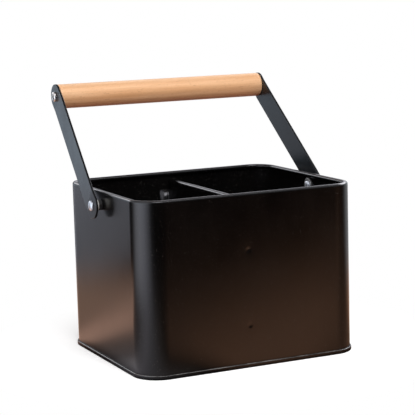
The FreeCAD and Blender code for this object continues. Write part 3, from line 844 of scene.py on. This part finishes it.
def make_screws():
    seat = GRIP_END + STRAP
    for side, turn in (("left", -1), ("right", 1)):
        def place(x, y, z, turn=turn):
            return leant(turn * (seat + x), y, z + ARM)
        mesh = cut(moved_mesh(f"screw_body_{side}", screw(), place),
                   moved_mesh(f"cross_{side}", cross_recess(), place))
        piece(f"screw_{side}", mesh, "handle", "grip_screws", "screw_steel", screw_steel)


make_wall()
make_pan()
make_divider()
make_pivots()
for side in ("left", "right"):
    make_strap(side)
make_grip()
make_screws()


# Studio: a pale floor, two soft lamps and an even world light. Places below are in metres.

def stage_object(name, points, faces, material):
    """A part of the studio, from points in metres."""
    mesh = bpy.data.meshes.new(name)
    mesh.from_pydata(points, [], faces)
    mesh.materials.append(material)
    item = bpy.data.objects.new(name, mesh)
    bpy.context.scene.collection.objects.link(item)
    return item


def floor_material():
    """Pale floor that keeps the object's shadow and turns pure white away from the object."""
    tree = Tree("floor")
    clear = tree.ranged(tree.length(tree.place), 0.10, 0.20, 0, 1)
    seen = tree.add("ShaderNodeLightPath").outputs["Is Camera Ray"]
    tree.give(Base_Color=(0.92, 0.92, 0.92, 1), Roughness=0.9, Specular_IOR_Level=0.1)
    glow = tree.add("ShaderNodeEmission", {"Color": (1, 1, 1, 1), "Strength": 0.30})
    white = tree.add("ShaderNodeEmission", {"Color": (1, 1, 1, 1), "Strength": 1.0})
    pale = tree.add("ShaderNodeAddShader", {0: tree.shader.outputs[0], 1: glow.outputs[0]})
    mix = tree.add("ShaderNodeMixShader", {
        0: tree.maths("MULTIPLY", clear, seen), 1: pale.outputs[0], 2: white.outputs[0]})
    tree.show(mix.outputs[0])
    return tree.material


# The surround is what the glossy surfaces mirror in place of the white studio. Its tones go by
# the angle round the tin: 0 is to its left, -90 in front of it and 90 behind it. NEAR_TONES lie
# round the tin, FAR_TONES stand beyond them and HIGH_TONES above those.
NEAR_TO_FAR = (0.28, 0.54)
FAR_TO_HIGH = (0.16, 0.26)
FAR_LIFT_HEIGHT = 0.06
FAR_LIFT = (1.5, 1.75, 1.8, 1)
OVERHEAD_SLOPE = (2.0, 2.4)
OVERHEAD_TONE = (0.02, 0.02, 0.022, 1)
FAR_TONES = (
    (-180, (0.55, 0.55, 0.57)), (-150, (0.10, 0.10, 0.10)), (-64, (0.004, 0.004, 0.004)),
    (-50, (0.10, 0.10, 0.11)), (-37, (0.95, 0.95, 1.08)), (-20, (1.85, 1.85, 2.1)),
    (-3, (2.15, 2.15, 2.4)), (14, (1.4, 1.4, 1.55)), (26, (0.45, 0.45, 0.49)),
    (36, (0.04, 0.04, 0.04)), (54, (0.02, 0.02, 0.03)), (57, (0.46, 0.46, 0.51)),
    (60, (0.50, 0.50, 0.56)), (64, (0.25, 0.26, 0.30)), (69, (0.80, 0.83, 0.95)),
    (75, (0.66, 0.68, 0.78)), (83, (0.08, 0.08, 0.09)), (110, (0.12, 0.12, 0.13)),
    (145, (0.55, 0.55, 0.57)), (180, (0.55, 0.55, 0.57)),
)
HIGH_TONES = (
    (-180, (0.32, 0.32, 0.35)), (-130, (0.40, 0.40, 0.43)), (-95, (0.10, 0.10, 0.11)),
    (-60, (0.10, 0.10, 0.11)), (-35, (1.3, 1.3, 1.45)), (20, (1.1, 1.1, 1.2)),
    (45, (0.40, 0.40, 0.44)), (64, (0.62, 0.63, 0.68)), (90, (0.25, 0.25, 0.27)),
    (118, (1.25, 1.25, 1.35)), (145, (0.95, 0.95, 1.02)), (180, (0.32, 0.32, 0.35)),
)
NEAR_TONES = (
    (-180, (0.7, 0.36, 0.22)), (-86, (0.20, 0.12, 0.08)), (-72, (0.12, 0.08, 0.06)),
    (-60, (0.28, 0.23, 0.21)), (-40, (0.66, 0.63, 0.68)), (-26, (0.98, 0.92, 1.02)),
    (-12, (0.74, 0.69, 0.73)), (4, (0.34, 0.29, 0.29)), (20, (0.36, 0.27, 0.24)),
    (27, (0.50, 0.34, 0.28)), (33, (1.15, 0.70, 0.53)), (37, (1.38, 0.83, 0.62)),
    (42, (1.32, 0.79, 0.59)), (48, (0.75, 0.46, 0.34)), (62, (0.72, 0.45, 0.33)),
    (110, (0.75, 0.46, 0.34)), (180, (0.7, 0.36, 0.22)),
)
# In front the tones go by the distance along a slanting line, y + SLANT * x, and share one tint.
# They dim with the distance and towards the right, and end at a height and at an angle each way.
SLANT = 0.85
FRONT_DIM_DISTANCE = (0.30, 0.85)
FRONT_DIM_ANGLE = (-121, -138)
FRONT_HEIGHT = (0.10, 0.26)
FRONT_LEFT_END = (-68, -88)
FRONT_RIGHT_END = (-180, -160)
FRONT_DARK = (0.002, 0.002, 0.002, 1)
FRONT_TINT = (1.0, 0.52, 0.315)
FRONT_LEVELS = (
    (-0.70, 0.015), (-0.56, 0.035), (-0.49, 0.055), (-0.43, 0.08), (-0.36, 0.15), (-0.31, 0.25),
    (-0.25, 0.45), (-0.20, 0.68), (-0.12, 1.0), (-0.06, 1.02), (0.05, 0.7), (0.3, 0.4),
)
# The dark ground beside the foot, by its distance from the wall in millimetres
FOOT_SHADE = (3, 17)
FOOT_SHADE_LEVEL = 0.12
# Bright panels: their strength by the angle round the tin, then the slopes up from the rim
# between which each stands, and how soft its edges are.
PANELS = (
    (((-180, 0.0), (-140, 1.0), (-124, 2.0), (-116, 4.0), (-108, 7.0), (-70, 7.0), (-48, 0.0),
      (180, 0.0)), 1.0, 1.9, 0.12),
    (((-180, 0.0), (52, 0.0), (60, 3.4), (84, 3.4), (93, 0.0), (180, 0.0)), 0.24, 0.44, 0.04),
    (((-180, 6.0), (-158, 0.0), (128, 0.0), (145, 6.0), (180, 6.0)), 0.36, 0.9, 0.06),
)


def surround_material():
    """Warm tones close to the tin, dim ones beyond, and the bright panels above them."""
    tree = Tree("surround")
    across, along, height = tree.split(tree.place)
    flat = tree.add("ShaderNodeCombineXYZ", {"X": across, "Y": along})
    away = tree.length(flat.outputs[0])
    turn = tree.maths("ARCTAN2", along, tree.maths("MULTIPLY", across, -1))
    turn = tree.ranged(turn, -math.pi, math.pi, -180, 180)
    slope = tree.maths("DIVIDE", tree.maths("SUBTRACT", height, TOP * MM), away)

    def ramp(value, levels):
        low = levels[0][0]
        high = levels[-1][0]
        node = tree.add("ShaderNodeValToRGB", {"Fac": tree.ranged(value, low, high, 0, 1)})
        stops = node.color_ramp.elements
        for place, _ in levels[1:-1]:
            stops.new((place - low) / (high - low))
        for stop, (_, colour) in zip(stops, levels):
            stop.color = (*colour, 1)
        return node.outputs["Color"]

    def panel(levels, low, high, edge):
        light = ramp(turn, [(angle, (level, level, level * 1.06)) for angle, level in levels])
        inside = tree.maths("MULTIPLY", tree.ranged(slope, low - edge, low + edge, 0, 1),
                            tree.ranged(slope, high - edge, high + edge, 1, 0))
        return tree.blend(inside, (0, 0, 0, 1), light)

    lift = tree.blend(tree.ranged(height, 0.0, FAR_LIFT_HEIGHT, 0, 1), (1, 1, 1, 1), FAR_LIFT)
    beyond = tree.blend(1.0, ramp(turn, FAR_TONES), lift, "MULTIPLY")
    beyond = tree.blend(tree.ranged(height, *FAR_TO_HIGH, 0, 1), beyond, ramp(turn, HIGH_TONES))
    for levels, low, high, edge in PANELS:
        beyond = tree.blend(1.0, beyond, panel(levels, low, high, edge), "ADD")
    beyond = tree.blend(tree.ranged(slope, *OVERHEAD_SLOPE, 0, 1), beyond, OVERHEAD_TONE)
    near = tree.ranged(away, *NEAR_TO_FAR, 1.0, 0.0, interpolation_type="SMOOTHSTEP")
    sides = tree.blend(near, beyond, ramp(turn, NEAR_TONES))

    slant = tree.maths("ADD", along, tree.maths("MULTIPLY", across, SLANT))
    front = ramp(slant, [(place, (level * FRONT_TINT[0], level * FRONT_TINT[1],
                                  level * FRONT_TINT[2] + 0.002))
                         for place, level in FRONT_LEVELS])
    lit = tree.maths("MULTIPLY", tree.ranged(away, *FRONT_DIM_DISTANCE, 1, 0.35),
                     tree.ranged(turn, *FRONT_DIM_ANGLE, 1, 0.52))
    front = tree.blend(lit, FRONT_DARK, front)
    ahead = tree.maths("MULTIPLY", tree.ranged(turn, *FRONT_LEFT_END, 0, 1),
                       tree.ranged(turn, *FRONT_RIGHT_END, 0, 1))
    ahead = tree.maths("MULTIPLY", ahead, tree.ranged(height, *FRONT_HEIGHT, 1, 0))

    # It is dark right beside the foot, where the tin shades the ground
    beside = [tree.maths("MAXIMUM", tree.maths("SUBTRACT", tree.maths("ABSOLUTE", place),
                                               (half - CORNER) * MM), 0.0)
              for place, half in ((across, HALF_WIDTH), (along, HALF_DEPTH))]
    beside = tree.maths("SQRT", tree.maths("ADD", tree.maths("POWER", beside[0], 2.0),
                                           tree.maths("POWER", beside[1], 2.0)))
    shade = tree.ranged(beside, (CORNER + FOOT_SHADE[0]) * MM, (CORNER + FOOT_SHADE[1]) * MM,
                        FOOT_SHADE_LEVEL, 1)
    glow = tree.add("ShaderNodeEmission", {"Color": tree.blend(ahead, sides, front),
                                           "Strength": shade})
    tree.show(glow.outputs[0])
    tree.material.cycles.emission_sampling = "NONE"
    return tree.material


def make_stage():
    """The floor, and the surround that reflections see in its place."""
    size = 4
    floor = stage_object("floor", [(-size, -size, 0), (size, -size, 0), (size, size, 0),
                                   (-size, size, 0)], [(0, 1, 2, 3)], floor_material())
    floor.visible_glossy = False
    floor.visible_diffuse = False

    ground = -0.0004
    reach = 1.1
    step = 0.1
    segments = 96
    rows = [(step * number, ground) for number in range(1, 12)]
    rows += [(reach, step * number) for number in range(1, 14)]
    rows += [(0.85, 1.6), (0.5, 1.8), (0.01, 1.85)]
    points = [(0, 0, ground)]
    rings = [range(1)]
    for radius, z in rows:
        rings.append(range(len(points), len(points) + segments))
        points += [(*point, z) for point in arc((0, 0), radius, 0, 360, segments)[:-1]]
    surround = stage_object("surround", points, ring_faces(rings), surround_material())
    for ray in ("camera", "diffuse", "transmission", "volume_scatter", "shadow"):
        setattr(surround, f"visible_{ray}", False)


def lamp(name, place, aim, size, power):
    """A soft square lamp. It lights the object, and neither camera nor reflections see it."""
    data = bpy.data.lights.new(name, "AREA")
    data.shape = "SQUARE"
    data.size = size
    data.energy = power
    item = bpy.data.objects.new(name, data)
    item.location = place
    item.rotation_euler = (Vector(aim) - Vector(place)).to_track_quat("-Z", "Y").to_euler()
    item.visible_camera = False
    item.visible_glossy = False
    bpy.context.scene.collection.objects.link(item)


def make_world():
    """A soft light, warm from below. The camera and the rays past the surround see white."""
    low_tone = (0.26, 0.065, 0.02, 1)
    high_tone = (0.44, 0.44, 0.44, 1)
    world = bpy.data.worlds.new("studio")
    bpy.context.scene.world = world
    world.use_nodes = True
    nodes = world.node_tree.nodes
    links = world.node_tree.links
    light = nodes["Background"]
    place = nodes.new("ShaderNodeTexCoord")
    parts = nodes.new("ShaderNodeSeparateXYZ")
    links.new(place.outputs["Generated"], parts.inputs[0])
    height = nodes.new("ShaderNodeMapRange")
    height.inputs["From Min"].default_value = -0.2
    height.inputs["From Max"].default_value = 0.6
    links.new(parts.outputs["Z"], height.inputs["Value"])
    tone = nodes.new("ShaderNodeMix")
    tone.data_type = "RGBA"
    tone.inputs[6].default_value = low_tone
    tone.inputs[7].default_value = high_tone
    links.new(height.outputs[0], tone.inputs[0])
    links.new(tone.outputs[2], light.inputs["Color"])
    white = nodes.new("ShaderNodeBackground")
    white.inputs["Color"].default_value = (1, 1, 1, 1)
    white.inputs["Strength"].default_value = 1.0
    path = nodes.new("ShaderNodeLightPath")
    seen = path.outputs["Is Camera Ray"]
    for ray in ("Is Glossy Ray", "Is Transmission Ray"):
        either = nodes.new("ShaderNodeMath")
        either.operation = "MAXIMUM"
        links.new(seen, either.inputs[0])
        links.new(path.outputs[ray], either.inputs[1])
        seen = either.outputs[0]
    mix = nodes.new("ShaderNodeMixShader")
    links.new(seen, mix.inputs[0])
    links.new(light.outputs[0], mix.inputs[1])
    links.new(white.outputs[0], mix.inputs[2])
    links.new(mix.outputs[0], nodes["World Output"].inputs["Surface"])


def make_camera():
    """The camera, from a fit of the tin's rim, base and corners to the photograph."""
    image_pixels = 415
    focal_pixels = 1505
    place = (-0.52626, -1.10954, 0.30546)
    forward = Vector((0.42303, 0.89331, -0.15178)).normalized()
    right = forward.cross(Vector((0.08970, 0.12540, 0.98804))).normalized()
    up = right.cross(forward)
    camera = bpy.data.objects.new("camera", bpy.data.cameras.new("camera"))
    camera.data.sensor_width = 36.0
    camera.data.lens = camera.data.sensor_width * focal_pixels / image_pixels
    camera.data.clip_start = 0.05
    camera.data.clip_end = 20.0
    camera.matrix_world = Matrix.Translation(place) @ Matrix(
        (right, up, -forward)).transposed().to_4x4()
    bpy.context.scene.collection.objects.link(camera)
    bpy.context.scene.camera = camera


make_stage()
make_world()
lamp("top", (0.05, -0.25, 1.5), (0, 0, 0.1), 1.2, 7)
lamp("front", (-0.2, -1.3, 1.1), (0, 0, 0.12), 0.9, 22)
make_camera()
bpy.context.scene.view_settings.view_transform = "Standard"
